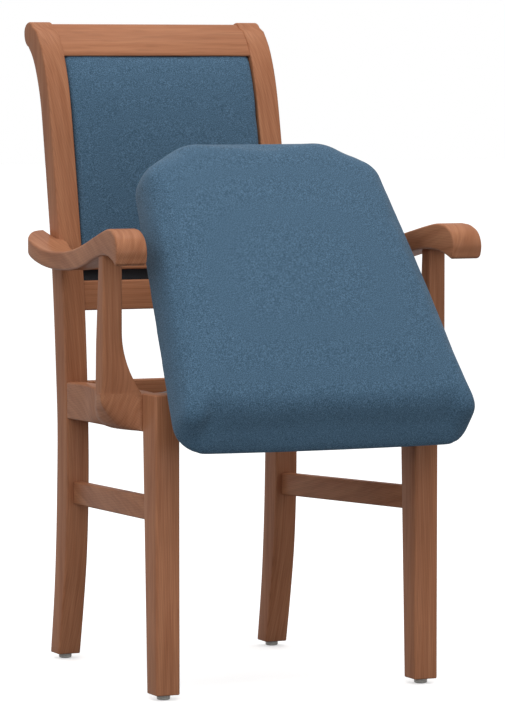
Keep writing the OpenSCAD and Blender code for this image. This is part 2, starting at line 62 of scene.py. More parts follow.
def smooth(points, steps=6):
    """Catmull-Rom spans: 0.5 (2b + (c-a)t + (2a-5b+4c-d)t^2 + (3b-a-3c+d)t^3) between b and c."""
    p = np.array(points, float)
    n = len(p)
    i = np.arange(n - 1)
    a, b, c, d = p[np.maximum(i - 1, 0)], p[i], p[i + 1], p[np.minimum(i + 2, n - 1)]
    t = (np.arange(steps) / steps)[None, :, None]
    a, b, c, d = a[:, None], b[:, None], c[:, None], d[:, None]
    spans = 0.5 * (2 * b + (c - a) * t + (2 * a - 5 * b + 4 * c - d) * t ** 2
                   + (3 * b - a - 3 * c + d) * t ** 3)
    return np.vstack([spans.reshape(-1, p.shape[1]), p[-1:]])


def arc(centre, radius, start, end, count):
    """Points at centre + radius (cos a, sin a), a in degrees from start to end."""
    a = np.radians(np.linspace(start, end, count))
    return np.stack([centre[0] + radius * np.cos(a), centre[1] + radius * np.sin(a)], -1)


def spaced(curve, count):
    """The curve again with its points at even steps of its length."""
    length = np.r_[0, np.cumsum(np.linalg.norm(np.diff(curve, axis=0), axis=1))]
    at = np.linspace(0, length[-1], count)
    return np.stack([np.interp(at, length, curve[:, k]) for k in range(curve.shape[1])], -1)


def unit(v):
    """Vectors divided by their length."""
    return v / np.maximum(np.linalg.norm(v, axis=-1, keepdims=True), 1e-9)


def ease(x, low, high):
    """Smooth step 3t^2 - 2t^3 of x from low to high."""
    t = np.clip((np.asarray(x, float) - low) / (high - low), 0, 1)
    return t * t * (3 - 2 * t)


# Centre (depth, height) and radius of the roll at the top of the posts, and the posts' two curves
SCROLL = (598, 980)
SCROLL_R = 20
POST_FRONT = smooth([(477, 8), (459, 90), (444, 180), (437, 300), (441, 430), (454, 580), (475, 700),
                     (497, 815), (517, 900), (541, 956), (566, 986)])
POST_BACK = smooth([(600, 959), (583, 944), (566, 917), (549, 874), (536, 812), (521, 730), (507, 650),
                    (496, 560), (487, 460), (481, 370), (483, 280), (488, 190), (497, 100), (512, 8)])
# Half widths over the front legs and the rear legs, and sizes of a front leg
HALF_FRONT = 230
HALF_REAR = 197
LEG_W = 38
LEG_D = 54
LEG_H = 451
# Inner face of the posts, rear end of the side rails and outer face of the arms' uprights
REAR_IN = 160
RAIL_END = 438
ARM_POST_OUT = 281
# Hinge line (depth, height), and the seat pad while lowered: front edge, base, sizes and face
HINGE = (18, 375)
PAD_REACH = 60
PAD_Z = 464
PAD_T = 58
PAD_L = 526
PAD_HALF = 243
PAD_FACE = PAD_T - 0.4
SEAT_LIFT = math.radians(54)
# The back panel lies this far behind the posts' front face, and is this deep with its board
BACK_RECESS = 4
BACK_D = 22
CLOTH_STEPS = 20
# Corners of the seat pad's plan: across, along and radius
PAD_RIGHT = np.array([(PAD_HALF, 0, 45), (PAD_HALF - 53 * (PAD_L - 50) / PAD_L, PAD_L - 50, 50),
                      (116, PAD_L, 76)])
PAD_CORNERS = np.vstack([PAD_RIGHT, PAD_RIGHT[::-1] * (-1, 1, 1)])


def post_y(z):
    """Depth of the back post's front face at height z, read off its curve."""
    return np.interp(z, POST_FRONT[:, 1], POST_FRONT[:, 0])


def rail_top(y):
    """Height of the side rail's top: a line from the front leg down to the rear leg."""
    return LEG_H + (440 - LEG_H) * (np.asarray(y, float) - LEG_D) / (RAIL_END - LEG_D)


def rail_line(y):
    """Half width over the side rails at depth y, before they swell."""
    return HALF_FRONT + (HALF_REAR - HALF_FRONT) * (np.asarray(y, float) - LEG_D) / (RAIL_END - LEG_D)


def rail_swell(y):
    """How far the side rail stands out under the arm's upright: zero at the leg, up as a power 2.2
    over 30 mm, level under the upright, and down as a power 1.6 to the rear."""
    y = np.asarray(y, float)
    full = ARM_POST_OUT - rail_line(100)
    rise = np.clip((y - LEG_D) / 30, 0, 1) ** 2.2
    fall = np.clip((350 - y) / 230, 0, 1) ** 1.6
    return full * np.where(y < 120, rise, fall)


def corner(at, before, after, out_before, out_after, steps=5):
    """Rounded corner: C + r1 (1 - sin a) to the edge before + r2 (1 - cos a) to the edge after,
    for a from 0 to 90 degrees. Unequal radii give a quarter of an ellipse."""
    a = np.linspace(0, math.pi / 2, steps)[None, :, None]
    r1 = np.asarray(out_before, float).reshape(-1, 1, 1)
    r2 = np.asarray(out_after, float).reshape(-1, 1, 1)
    return at[:, None] + r1 * (1 - np.sin(a)) * before[:, None] + r2 * (1 - np.cos(a)) * after[:, None]


def rounded(corners, radius, steps=5):
    """Rings with every corner of each station's polygon rounded, never by more than 0.46 of an edge."""
    c = np.asarray(corners, float)
    previous, following = np.roll(c, 1, 1) - c, np.roll(c, -1, 1) - c
    limit = 0.46 * np.minimum(np.linalg.norm(previous, axis=-1), np.linalg.norm(following, axis=-1))
    r = np.minimum(np.broadcast_to(np.asarray(radius, float), c.shape[:2]), limit)
    parts = [corner(c[:, k], unit(previous)[:, k], unit(following)[:, k], r[:, k], r[:, k], steps)
             for k in range(c.shape[1])]
    return np.concatenate(parts, 1)


def with_ends(corners, start, end, radius, tenon=(0, 0), steps=5):
    """Stations whose two ends turn over by a quarter circle: the polygon moves in by r (1 - cos a)
    while it runs out by r sin a. A tenon carries the drawn-in end on into the neighbour."""
    c = np.asarray(corners, float)
    inward = unit(np.roll(c, 1, 1) - c) + unit(np.roll(c, -1, 1) - c)
    edge = np.broadcast_to(np.asarray(radius, float), c.shape[:2])

    def turned_over(here, along, move_in, r, long, edge_r):
        a = np.linspace(math.pi / 2, 0, steps)[:, None, None] if r else np.zeros((1, 1, 1))
        stations = here[None] + along[None] * r * (1 - np.sin(a)) + move_in[None] * r * (1 - np.cos(a))
        edges = np.maximum(edge_r[None] - r * (1 - np.cos(a[..., 0])), 0.25)
        if long:
            stations = np.concatenate([stations[:1] - along[None] * long, stations])
            edges = np.concatenate([edges[:1], edges])
        return stations, edges

    first, first_edge = turned_over(c[0], unit(c[1] - c[0]), inward[0], start, tenon[0], edge[0])
    last, last_edge = turned_over(c[-1], unit(c[-2] - c[-1]), inward[-1], end, tenon[1], edge[-1])
    stations = np.concatenate([first, c[1:-1], last[::-1]])
    return stations, np.concatenate([first_edge, edge[1:-1], last_edge[::-1]])


def bar(corners, start, end, radius, tenon=(0, 0)):
    """A solid through the stations of a polygon, with its edges rounded and its ends turned over."""
    return skin(rounded(*with_ends(corners, start, end, radius, tenon)))


def skin(rings, closed=True):
    """Vertices and faces: ring k is joined to ring k + 1 by quads, and one face closes each end."""
    m, n, _ = rings.shape
    k, i = np.arange(m - 1)[:, None], np.arange(n)[None]
    a, b = k * n + i, k * n + (i + 1) % n
    faces = np.stack([a, b, b + n, a + n], -1).reshape(-1, 4).tolist()
    if closed:
        faces += [list(range(n))[::-1], list(range((m - 1) * n, m * n))]
    return rings.reshape(-1, 3), faces


def lathe(profile, centre, count=48):
    """A profile of (radius, height) turned about an upright axis through centre: the point at angle a is
    radius (cos a, sin a) across the axis and height along it."""
    radius, height = np.array(profile, float).T[..., None]
    a = np.linspace(0, 2 * math.pi, count, endpoint=False)
    around = np.stack(np.broadcast_arrays(radius * np.cos(a), radius * np.sin(a), height), -1)
    return skin(around + np.asarray(centre, float))


def joined(parts):
    """Several (vertices, faces) as one."""
    vertices, faces, start = [], [], 0
    for v, f in parts:
        vertices.append(v)
        faces += [[i + start for i in face] for face in f]
        start += len(v)
    return np.vstack(vertices), faces


def stations_of(*corners):
    """Stations of a polygon whose corners are each given as x, y and z along the stations."""
    return np.stack([np.stack(np.broadcast_arrays(*corner_at), -1) for corner_at in corners], 1)


def in_scene(name, data):
    """A new object of the scene."""
    thing = bpy.data.objects.new(name, data)
    bpy.context.scene.collection.objects.link(thing)
    return thing


def welded(mesh):
    """Joins vertices that coincide and turns all faces outwards."""
    bm = bmesh.new()
    bm.from_mesh(mesh)
    bmesh.ops.remove_doubles(bm, verts=bm.verts, dist=1e-6)
    bmesh.ops.recalc_face_normals(bm, faces=bm.faces)
    bm.to_mesh(mesh)
    bm.free()


def framed_mesh(name, shape, side=1):
    """A mesh of a shape drawn in millimetres: x times the side, and y from the legs' face."""
    vertices, faces = shape
    v = np.array(vertices, float)
    v[:, 0] *= side
    v[:, 1] += LEG_FACE
    mesh = bpy.data.meshes.new(name)
    mesh.from_pydata((v * MM).tolist(), [], faces)
    return mesh


def new_piece(name, shape, material, body, replaces, side=1):
    """Puts a closed shape into the frame, smooth except where its faces meet at over 38 degrees."""
    mesh = framed_mesh(name, shape, side)
    welded(mesh)
    mesh.shade_smooth()
    mesh.set_sharp_from_angle(angle=math.radians(38))
    mesh.materials.append(material)
    return settle(in_scene(name, mesh), body, replaces)


def both_sides(prefix, shape, along, seed, node):
    """A piece of wood and its mirror image, each with its own piece of the grain."""
    for name, side in SIDES.items():
        grain = wood(along, seed + side)
        new_piece(f"{prefix}_{name}", shape, grain, "frame", [f"{node}_{name}"], side)


def settle(piece, body, replaces):
    """Attaches a finished piece to the body that it rides on, and hides the parts that it stands for."""
    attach(piece, body)
    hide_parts(*replaces)
    return piece


# Places of the colour sockets of a Mix node
COLOUR_A, COLOUR_B, COLOUR_RESULT = 6, 7, 2


def linear(hex_colour):
    """An sRGB hex colour as linear red, green, blue and alpha."""
    c = np.array([int(hex_colour[i:i + 2], 16) for i in (1, 3, 5)]) / 255
    c = np.where(c <= 0.04045, c / 12.92, ((c + 0.055) / 1.055) ** 2.4)
    return (*c.tolist(), 1.0)


def link(tree, source, entry):
    """Links a socket, or a node's first output, to an input."""
    tree.links.new(source if isinstance(source, bpy.types.NodeSocket) else source.outputs[0], entry)


def feed(tree, node, links=None, **values):
    """Gives a node's sockets their values and links."""
    for key, value in values.items():
        node.inputs[key.replace("_", " ")].default_value = value
    for key, source in (links or {}).items():
        link(tree, source, node.inputs[key])
    return node


def add(tree, kind, settings=None, links=None, **values):
    """Adds a node: settings are its properties, values its sockets, and links its linked sockets."""
    node = tree.nodes.new("ShaderNode" + kind)
    for key, value in (settings or {}).items():
        setattr(node, key, value)
    return feed(tree, node, links, **values)


def maths(tree, operation, *operands):
    """A Math node, whose operands are sockets, nodes or numbers."""
    node = add(tree, "Math", {"operation": operation})
    for entry, operand in zip(node.inputs, operands):
        if isinstance(operand, (int, float)):
            entry.default_value = operand
        else:
            link(tree, operand, entry)
    return node


def multiplied(tree, first, second):
    """The product of two colours."""
    return add(tree, "Mix", {"data_type": "RGBA", "blend_type": "MULTIPLY"},
               {COLOUR_A: first, COLOUR_B: second}, Factor=1.0).outputs[COLOUR_RESULT]


def new_material(name):
    """An empty material with its output and one Principled shader."""
    material = bpy.data.materials.new(name)
    material.use_nodes = True
    tree = material.node_tree
    tree.nodes.clear()
    shader = add(tree, "BsdfPrincipled")
    add(tree, "OutputMaterial", links={"Surface": shader})
    return material, tree, shader


def ramp(tree, factor, stops):
    """A colour ramp through (position, colour) stops."""
    node = add(tree, "ValToRGB", links={"Fac": factor})
    band = node.color_ramp
    while len(band.elements) < len(stops):
        band.elements.new(0.5)
    for element, (position, colour) in zip(band.elements, stops):
        element.position = position
        element.color = colour
    return node


def grey(value):
    """A grey as a colour."""
    return (value, value, value, 1.0)


# How fast the pattern changes in x, y and z: 0 along the grain, 1 slowly and 2 fast across it
GRAIN = {"x": (0, 1, 2), "y": (2, 0, 1), "z": (2, 1, 0)}


def grained(tree, place, along, seed, changes):
    """A place in the wood, turned 20 degrees about the grain and counted in changes per metre."""
    turn = [math.radians(20) * (axis == along) for axis in "xyz"]
    return add(tree, "Mapping", {"vector_type": "TEXTURE"}, links={"Vector": place},
               Location=(seed, seed * 0.7, seed * 0.3), Rotation=turn,
               Scale=tuple(1 / changes[k] for k in GRAIN[along]))


def stained_beech(name, along, seed, look):
    """Beech, planed, stained reddish brown and sprayed with satin lacquer. The eye sees soft long
    streaks along the grain, short dark pores, slow changes of tone and a broad dull highlight, which
    is all the lacquer's: the coat has it, and the stained wood under it has none."""
    material, tree, shader = new_material(name)
    place = add(tree, "TexCoord").outputs["Object"]
    # Streaks about 5 mm wide and 220 mm long
    long_way = grained(tree, place, along, seed, (4.5, 25, 210))
    streak = add(tree, "TexNoise", links={"Vector": long_way}, Scale=1.0, Detail=2.0, Roughness=0.55,
                 Distortion=0.3)
    # Tone that changes slowly over a hand's width
    drift = add(tree, "TexNoise", links={"Vector": place}, Scale=7.0, Detail=2.0)
    # Pores: faint dashes of 1.4 by 50 mm, wider than real ones so that they show
    pore = add(tree, "TexNoise", links={"Vector": grained(tree, place, along, seed, (20, 60, 700))},
               Scale=1.0, Detail=1.0)
    # Growth rings: slanting layers 4 mm apart, straight lines on the faces and diagonals on the ends
    layers = add(tree, "Mapping", links={"Vector": place}, Location=(seed * 0.01, 0, 0),
                 Scale=tuple((0.05, 1.0, 1.0)[k] for k in GRAIN[along]))
    layer = add(tree, "TexWave", {"bands_direction": "DIAGONAL"}, links={"Vector": layers},
                Scale=160.0, Distortion=5.0, Detail=1.0, Detail_Scale=0.12)
    tones = ramp(tree, streak, [(0.28, linear(look.wood_dark)), (0.5, linear(look.wood)),
                                (0.74, linear(look.wood_light))])
    slow = add(tree, "MapRange", links={"Value": drift}, From_Min=0.3, From_Max=0.7, To_Min=0.94,
               To_Max=1.05)
    line = ramp(tree, layer.outputs["Fac"], [(0.1, grey(0.93)), (0.5, grey(1.0))])
    fine = ramp(tree, pore, [(0.36, grey(0.91)), (0.5, grey(1.0))])
    colour = multiplied(tree, multiplied(tree, tones, fine), line)
    final = add(tree, "HueSaturation", links={"Color": colour, "Value": slow})
    dull = add(tree, "MapRange", links={"Value": streak}, To_Min=0.34, To_Max=0.44)
    rough = add(tree, "Bump", links={"Height": pore}, Strength=0.12, Distance=0.0004)
    feed(tree, shader, {"Base Color": final, "Roughness": dull, "Normal": rough}, IOR=1.5,
         Specular_IOR_Level=0.0, Coat_Weight=0.2, Coat_Roughness=0.3)
    return material


def melange_cloth(name, look, attribute=None):
    """Polyester upholstery cloth woven from mixed light and dark blue yarn. The eye sees heather
    specks a millimetre or two wide, a soft weave and a faint pale sheen at the edges."""
    material, tree, shader = new_material(name)
    if attribute:
        place = add(tree, "Attribute", {"attribute_name": attribute}).outputs["Vector"]
    else:
        place = add(tree, "TexCoord").outputs["Object"]
    # Specks of 1.4 mm and finer, coarser than the yarn so that they show
    speck = add(tree, "TexNoise", links={"Vector": place}, Scale=720.0, Detail=1.0, Roughness=0.7)
    tones = ramp(tree, speck, [(0.34, linear(look.cloth_dark)), (0.5, linear(look.cloth)),
                               (0.66, linear(look.cloth_light))])
    # Weave: crossed ridges 1.4 mm apart
    split = add(tree, "SeparateXYZ", links={"Vector": place})
    ridges = [maths(tree, "SINE", maths(tree, "MULTIPLY", split.outputs[axis], 2 * math.pi / (1.4 * MM)))
              for axis in ("X", "Y")]
    height = maths(tree, "MULTIPLY_ADD", maths(tree, "MULTIPLY", *ridges), 0.3, speck)
    bump = add(tree, "Bump", links={"Height": height}, Strength=0.35, Distance=0.0006)
    feed(tree, shader, {"Base Color": tones, "Normal": bump}, Roughness=0.9,
         Specular_IOR_Level=0.25, Sheen_Weight=0.08, Sheen_Roughness=0.5)
    return material


def plain_finish(name, dark, light, grain, rough, metallic=0.0, bump=0.05, stretch=(1, 1, 1)):
    """A hard or soft finish with two close tones mixed by a noise of the given grain in mm."""
    material, tree, shader = new_material(name)
    place = add(tree, "TexCoord").outputs["Object"]
    scaled = add(tree, "Mapping", links={"Vector": place}, Scale=stretch)
    noise = add(tree, "TexNoise", links={"Vector": scaled}, Scale=1 / (grain * MM), Detail=4.0, Roughness=0.6)
    wear = add(tree, "TexNoise", links={"Vector": place}, Scale=30.0, Detail=3.0)
    tones = ramp(tree, noise, [(0.3, linear(dark)), (0.7, linear(light))])
    spread = add(tree, "MapRange", links={"Value": wear}, From_Min=0.3, From_Max=0.7,
                 To_Min=rough * 0.85, To_Max=min(1, rough * 1.15))
    lift = add(tree, "Bump", links={"Height": noise}, Strength=bump, Distance=0.0005)
    feed(tree, shader, {"Base Color": tones, "Roughness": spread, "Normal": lift}, Metallic=metallic)
    return material


class ChairSizes(bpy.types.PropertyGroup):
    """Sizes of edges and of the padding that a user may change."""
    arris: FloatProperty(name="Arris", description="Radius of the wood's long edges",
                         default=0.0028, min=0.0005, max=0.006, unit="LENGTH")
    joint: FloatProperty(name="Joint", description="Radius of a rail's end where it meets a leg",
                         default=0.0018, min=0.0005, max=0.004, unit="LENGTH")
    pad_swell: FloatProperty(name="Pad swell", description="Most that the stuffing may push the cover out",
                             default=0.010, min=0.0, max=0.03, unit="LENGTH")
    voxel: FloatProperty(name="Cloth grid", description="Size of the grid that the cloth is worked out on",
                         default=0.006, min=0.004, max=0.012, unit="LENGTH")


class ChairLook(bpy.types.PropertyGroup):
    """Colours of the stain and of the upholstery, as sRGB hex values."""
    wood: StringProperty(name="Stain", description="Middle tone of the stained beech", default="#B67B5A")
    wood_dark: StringProperty(name="Stain, dark", description="Dark streaks of the beech", default="#AA6F4F")
    wood_light: StringProperty(name="Stain, light", description="Light streaks of the beech",
                               default="#C08562")
    cloth: StringProperty(name="Cloth", description="Middle tone of the blue cloth", default="#486780")
    cloth_dark: StringProperty(name="Cloth, dark", description="Dark yarn of the cloth", default="#355064")
    cloth_light: StringProperty(name="Cloth, light", description="Light yarn of the cloth", default="#62829C")


class StageLook(bpy.types.PropertyGroup):
    """Light and camera of the studio."""
    key: FloatProperty(name="Key light", description="Power of the lamp high up in front",
                       default=29.0, min=0.0, unit="POWER")
    fill: FloatProperty(name="Fill light", description="Power of the large lamp at the left",
                        default=31.0, min=0.0, unit="POWER")
    ambient: FloatProperty(name="Ambient", description="Strength of the even light from all round",
                           default=0.58, min=0.0, max=2.0)
    turn: FloatProperty(name="Camera turn", description="Turn of the camera round the chair",
                        default=math.radians(-24), subtype="ANGLE")
    dip: FloatProperty(name="Camera dip", description="How far the camera looks down",
                       default=math.radians(4.011), subtype="ANGLE")
    lens: FloatProperty(name="Lens", description="Focal length on a sensor 36 mm high",
                        default=214.05, unit="CAMERA")
    eye: FloatVectorProperty(name="Camera place", description="Where the camera stands",
                             default=(-2.6505, -6.0295, 0.9399), size=3, subtype="XYZ", unit="LENGTH")


MATERIALS = {}


def wood(along, seed):
    """The beech with its grain along x, y or z, and its own piece of the pattern."""
    key = f"Stained beech, grain {along} {seed}"
    if key not in MATERIALS:
        MATERIALS[key] = stained_beech(key, along, seed, bpy.context.scene.chair_look)
    return MATERIALS[key]


def cloth(attribute=None):
    """The blue upholstery cloth."""
    key = "Blue melange cloth" + (", laid out" if attribute else "")
    if key not in MATERIALS:
        MATERIALS[key] = melange_cloth(key, bpy.context.scene.chair_look, attribute)
    return MATERIALS[key]


def edge_radii(context):
    """Radii in millimetres of the wood's long edges and of a rail's ends."""
    sizes = context.scene.chair_sizes
    return sizes.arris / MM, sizes.joint / MM


class MakeFrontLegs(bpy.types.Operator):
    """Front legs: straight in front, tapering behind from 54 mm at the top to 37 mm at the foot"""
    bl_idname = "lift_chair.front_legs"
    bl_label = "Front legs"

    def execute(self, context):
        arris, _ = edge_radii(context)
        levels = np.array([8, 150, 300, LEG_H], float)
        depth = 37 + (LEG_D - 37) * (levels - 8) / (LEG_H - 8)
        inner, outer = HALF_FRONT - LEG_W, HALF_FRONT
        corners = stations_of((inner, 0, levels), (outer, 0, levels), (outer, depth, levels),
                              (inner, depth, levels))
        both_sides("leg_front", bar(corners, 2, arris, arris), "z", 1, "front_leg")
        return {"FINISHED"}


class MakePosts(bpy.types.Operator):
    """Rear legs and back posts in one piece, curved in side view and rolled back at the top"""
    bl_idname = "lift_chair.posts"
    bl_label = "Rear legs and posts"

    def execute(self, context):
        arris, _ = edge_radii(context)
        stem = 70
        front = np.vstack([spaced(POST_FRONT, stem), spaced(arc(SCROLL, SCROLL_R, 140, 38, 12), 12)])
        back = np.vstack([spaced(POST_BACK[::-1], stem), spaced(arc(SCROLL, SCROLL_R, -85, 14, 12), 12)])
        corners = stations_of((REAR_IN, *front.T), (HALF_REAR, *front.T), (HALF_REAR, *back.T),
                              (REAR_IN, *back.T))
        both_sides("post", bar(corners, 2, 1, arris), "z", 5, "rear_leg")
        return {"FINISHED"}


class MakeSideRails(bpy.types.Operator):
    """Side rails: straight from leg to leg, swelling out under the arm's upright"""
    bl_idname = "lift_chair.side_rails"
    bl_label = "Side rails"

    def execute(self, context):
        arris, joint = edge_radii(context)
        height, thick = 57, 28
        y = np.unique(np.r_[np.linspace(LEG_D, 90, 37), np.linspace(90, 130, 9), np.linspace(130, 436, 40)])
        top = np.minimum(LEG_H, rail_top(np.maximum(y, 120)))
        low = rail_top(y) - height
        line = rail_line(y)
        swell = rail_swell(y)
        swell[:45] = np.convolve(np.pad(swell, 3, "edge"), np.ones(7) / 7, "valid")[:45]
        swell[0] = 0
        # The last stations draw in, so that a thin dark line shows where the rail meets the rear leg
        turn = np.linspace(0, math.pi / 2, 5)
        draw = np.zeros(len(y))
        y = np.r_[y, 436 + joint * np.sin(turn[1:]), 448]
        grow = [top, low, line, swell, draw]
        top, low, line, swell, draw = [np.r_[a, np.repeat(a[-1], 5)] for a in grow]
        draw[-5:] = np.r_[joint * (1 - np.cos(turn[1:])), joint]
        outer, inner = line + swell - draw, line - thick + draw
        top, low = top - draw, low + draw
        c = stations_of((outer, y, top), (outer, y, low), (inner, y, low), (inner, y, top))
        before, after = unit(np.roll(c, 1, 1) - c), unit(np.roll(c, -1, 1) - c)
        open_top = 0.3 + (arris - 0.3) * ease(y, 118, 132)
        small = np.full(len(y), arris)
        # Outer face: line + swell sqrt(1 - q^5) with q from 0 at the top to 1 at the bottom. Lower down
        # the swell is averaged over 80 mm of the length, so that its front edge fades out.
        q = np.sin(np.linspace(0.05, math.pi / 2, 26))[None]
        soft = rail_swell(y[:, None] + np.linspace(-40, 40, 41)).mean(1) * ease(y, LEG_D, 90)
        a = swell[:, None] + (soft - swell)[:, None] * ease(q, 0.15, 0.9)
        z = (top - open_top)[:, None] * (1 - q) + low[:, None] * q
        under = arris - np.clip(z - low[:, None], 0, arris)
        x = (line - draw)[:, None] + a * np.sqrt(1 - q ** 5) - (arris - np.sqrt(arris ** 2 - under ** 2))
        face = np.stack([x, np.broadcast_to(y[:, None], x.shape), z], -1)
        parts = [corner(c[:, 0], before[:, 0], after[:, 0], open_top, open_top), face,
                 corner(c[:, 2], before[:, 2], after[:, 2], small, small),
                 corner(c[:, 3], before[:, 3], after[:, 3], small, small)]
        both_sides("side_rail_wood", skin(np.concatenate(parts, 1)), "y", 9, "side_rail")
        return {"FINISHED"}


class MakeArmPosts(bpy.types.Operator):
    """Uprights under the arms, whose inner front edge sweeps in to the top of the leg"""
    bl_idname = "lift_chair.arm_posts"
    bl_label = "Arm uprights"

    def execute(self, context):
        arris, _ = edge_radii(context)
        z = np.r_[np.linspace(447, 545, 50), np.linspace(550, 640, 10), 660]
        cove = np.clip((540 - z) / (540 - LEG_H), 0, 1) ** 2
        flare = np.clip((500 - z) / (500 - LEG_H), 0, 1) ** 2
        back = 104 + 8 * np.clip((653 - z) / 130, 0, 1)
        inner_x = ARM_POST_OUT - 29 + (HALF_FRONT - ARM_POST_OUT + 29) * np.minimum(cove, 1)
        inner_y = 75 + (LEG_D - 75) * np.minimum(cove, 1)
        outer_x = np.full(len(z), float(ARM_POST_OUT))
        outer_y = 79 + 5 * flare
        power = 1 + 1.2 * np.clip(cove, 0, 1)
        inner_front = np.stack([inner_x, inner_y, z], -1)
        outer_front = np.stack([outer_x, outer_y, z], -1)
        outer_back = np.stack([ARM_POST_OUT - 3 * np.clip((z - LEG_H) / 200, 0, 1), back, z], -1)
        inner_back = np.stack([ARM_POST_OUT - 28 - 6 * flare, back, z], -1)
        # Front face: from the inner edge to the outer one, depth rising as a power of the way across
        s = np.linspace(0.12, 0.88, 8)[None]
        across_y = inner_y[:, None] + (outer_y - inner_y)[:, None] * s
        across_x = inner_x[:, None] + (outer_x - inner_x)[:, None] * s ** power[:, None]
        face = np.stack([across_x, across_y, np.broadcast_to(z[:, None], across_x.shape)], -1)

        def turn(at, previous, following, r=arris):
            edge = np.full(len(z), r)
            return corner(at, unit(previous - at), unit(following - at), edge, edge)

        rings = np.concatenate([turn(inner_front, inner_back, face[:, 0], 2.2), face,
                                turn(outer_front, face[:, -1], outer_back),
                                turn(outer_back, outer_front, inner_back),
                                turn(inner_back, outer_back, inner_front)], 1)
        both_sides("arm_post", skin(rings), "z", 13, "arm_support")
        return {"FINISHED"}


ARM_TOP = smooth([(-10, 652), (-13, 663), (-9, 676), (1, 686), (20, 693), (42, 694), (74, 689),
                  (123, 679), (166, 670), (202, 663), (245, 656), (300, 650), (355, 648), (405, 651),
                  (467, 661), (532, 674)])
ARM_UNDER = smooth([(532, 650), (467, 635), (405, 625), (355, 621), (310, 621), (258, 624), (196, 632),
                    (135, 645), (87, 653), (48, 654), (22, 650), (6, 645), (-3, 642), (-8, 645)])[::-1]
ARM_INNER = np.vstack([smooth([(248, -30), (248, 0), (241, 90), (229, 220), (215, 350), (189, 452)]),
                       [(189, 469), (197.5, 474), (197.5, 540)]])
ARM_OUTER = smooth([(204, 531), (222, 522), (240, 492), (249, 460), (254, 410), (256, 350), (259, 290),
                    (269, 200), (281, 110), (290, 40), (296, -8), (296, -30)])[::-1]


class MakeArms(bpy.types.Operator):
    """Arms: a nose that rolls over in front, a shallow dip, and a paddle that wraps the back post"""
    bl_idname = "lift_chair.arms"
    bl_label = "Arms"

    def execute(self, context):
        arris, _ = edge_radii(context)
        # Stations pair a point of the top with one of the underside, closer at the nose and the rear
        nose_top = spaced(ARM_TOP[ARM_TOP[:, 0] < 21], 22)
        nose_under = spaced(ARM_UNDER[ARM_UNDER[:, 0] < 36], 22)
        y = 531 - (531 - 36) * np.linspace(1, 0, 90) ** 1.15
        along_top = np.stack([y, np.interp(y, ARM_TOP[20:, 0], ARM_TOP[20:, 1])], -1)
        along_under = np.stack([y, np.interp(y, ARM_UNDER[20:, 0], ARM_UNDER[20:, 1])], -1)
        top = np.vstack([nose_top, along_top])
        under = np.vstack([nose_under, along_under])

        def edge(curve, depth):
            return np.interp(depth, curve[:, 1], curve[:, 0])

        c = stations_of(*[(edge(curve, p[:, 0]), *p.T) for curve, p in
                          ((ARM_INNER, top), (ARM_OUTER, top), (ARM_OUTER, under), (ARM_INNER, under))])
        both_sides("arm", bar(c, 1, 1, arris + 0.8), "y", 17, "armrest")
        return {"FINISHED"}


class MakeStretchers(bpy.types.Operator):
    """Side stretchers, low between the front and rear legs"""
    bl_idname = "lift_chair.stretchers"
    bl_label = "Side stretchers"

    def execute(self, context):
        arris, joint = edge_radii(context)
        ends = []
        for half, y, high in ((HALF_FRONT, 48.5, 297), (HALF_REAR, 437.5, 284)):
            outer, inner, low = half - 10, half - 28, high - 35
            ends.append([(outer, y, high), (outer, y, low), (inner, y, low), (inner, y, high)])
        both_sides("stretcher_bar", bar(ends, joint, joint, arris, (8, 8)), "y", 21, "stretcher")
        return {"FINISHED"}


class MakeCrossRails(bpy.types.Operator):
    """Rails that run across: the seat's front and rear rails and the two slim rails of the back"""
    bl_idname = "lift_chair.cross_rails"
    bl_label = "Cross rails"

    def execute(self, context):
        arris, joint = edge_radii(context)

        def across(name, node, half, profile, seed, radius=arris):
            ends = [[(x, y, z) for y, z in profile] for x in (-half, half)]
            shape = bar(ends, joint, joint, radius, (6, 6))
            new_piece(name, shape, wood("x", seed), "frame", [node])

        def upright(front, rear, low, high):
            return [(front, low), (rear, low), (rear, high), (front, high)]

        across("seat_rail_front", "front_rail", HALF_FRONT - LEG_W, upright(16, 38, 398, 440), 25)
        across("seat_rail_rear", "rear_rail", REAR_IN, upright(444, 466, 383, 440), 26)
        for name, node, low, high, seed in (("back_rail_low", "lower_back_rail", 550, 596, 27),
                                            ("back_rail_panel", "back_panel_rail", 613, 626, 28)):
            y0, y1 = post_y(low) + 3, post_y(high) + 3
            across(name, node, REAR_IN, [(y0, low), (y0 + 22, low), (y1 + 22, high), (y1, high)], seed)
        across("strut_bar", "mechanism_bar", 206, upright(190, 214, 394, 419), 29, 2)
        return {"FINISHED"}


class MakeCrest(bpy.types.Operator):
    """Crest rail between the posts, rolled back with them and set in by 3 mm"""
    bl_idname = "lift_chair.crest"
    bl_label = "Crest rail"

    def execute(self, context):
        low = 946
        rise = POST_FRONT[POST_FRONT[:, 1] > low + 4] + (3, 0)
        roll = arc(SCROLL, SCROLL_R - 3, 140, -85, 30)
        foot = float(post_y(low))
        hollow = smooth([(598, 962), (590, 957), (583, 950), (573, 946.5)], 4)
        edge_front = arc((foot + 5.5, low + 2.5), 2.5, 250, 170, 5)
        profile = np.vstack([edge_front, rise, roll, hollow[1:]])
        x = np.array([-REAR_IN - 6, -REAR_IN + 0.4, REAR_IN - 0.4, REAR_IN + 6])
        rings = np.stack(np.broadcast_arrays(x[:, None], *profile.T), -1)
        new_piece("crest", skin(rings), wood("x", 31), "frame", ["crest_rail"])
        return {"FINISHED"}


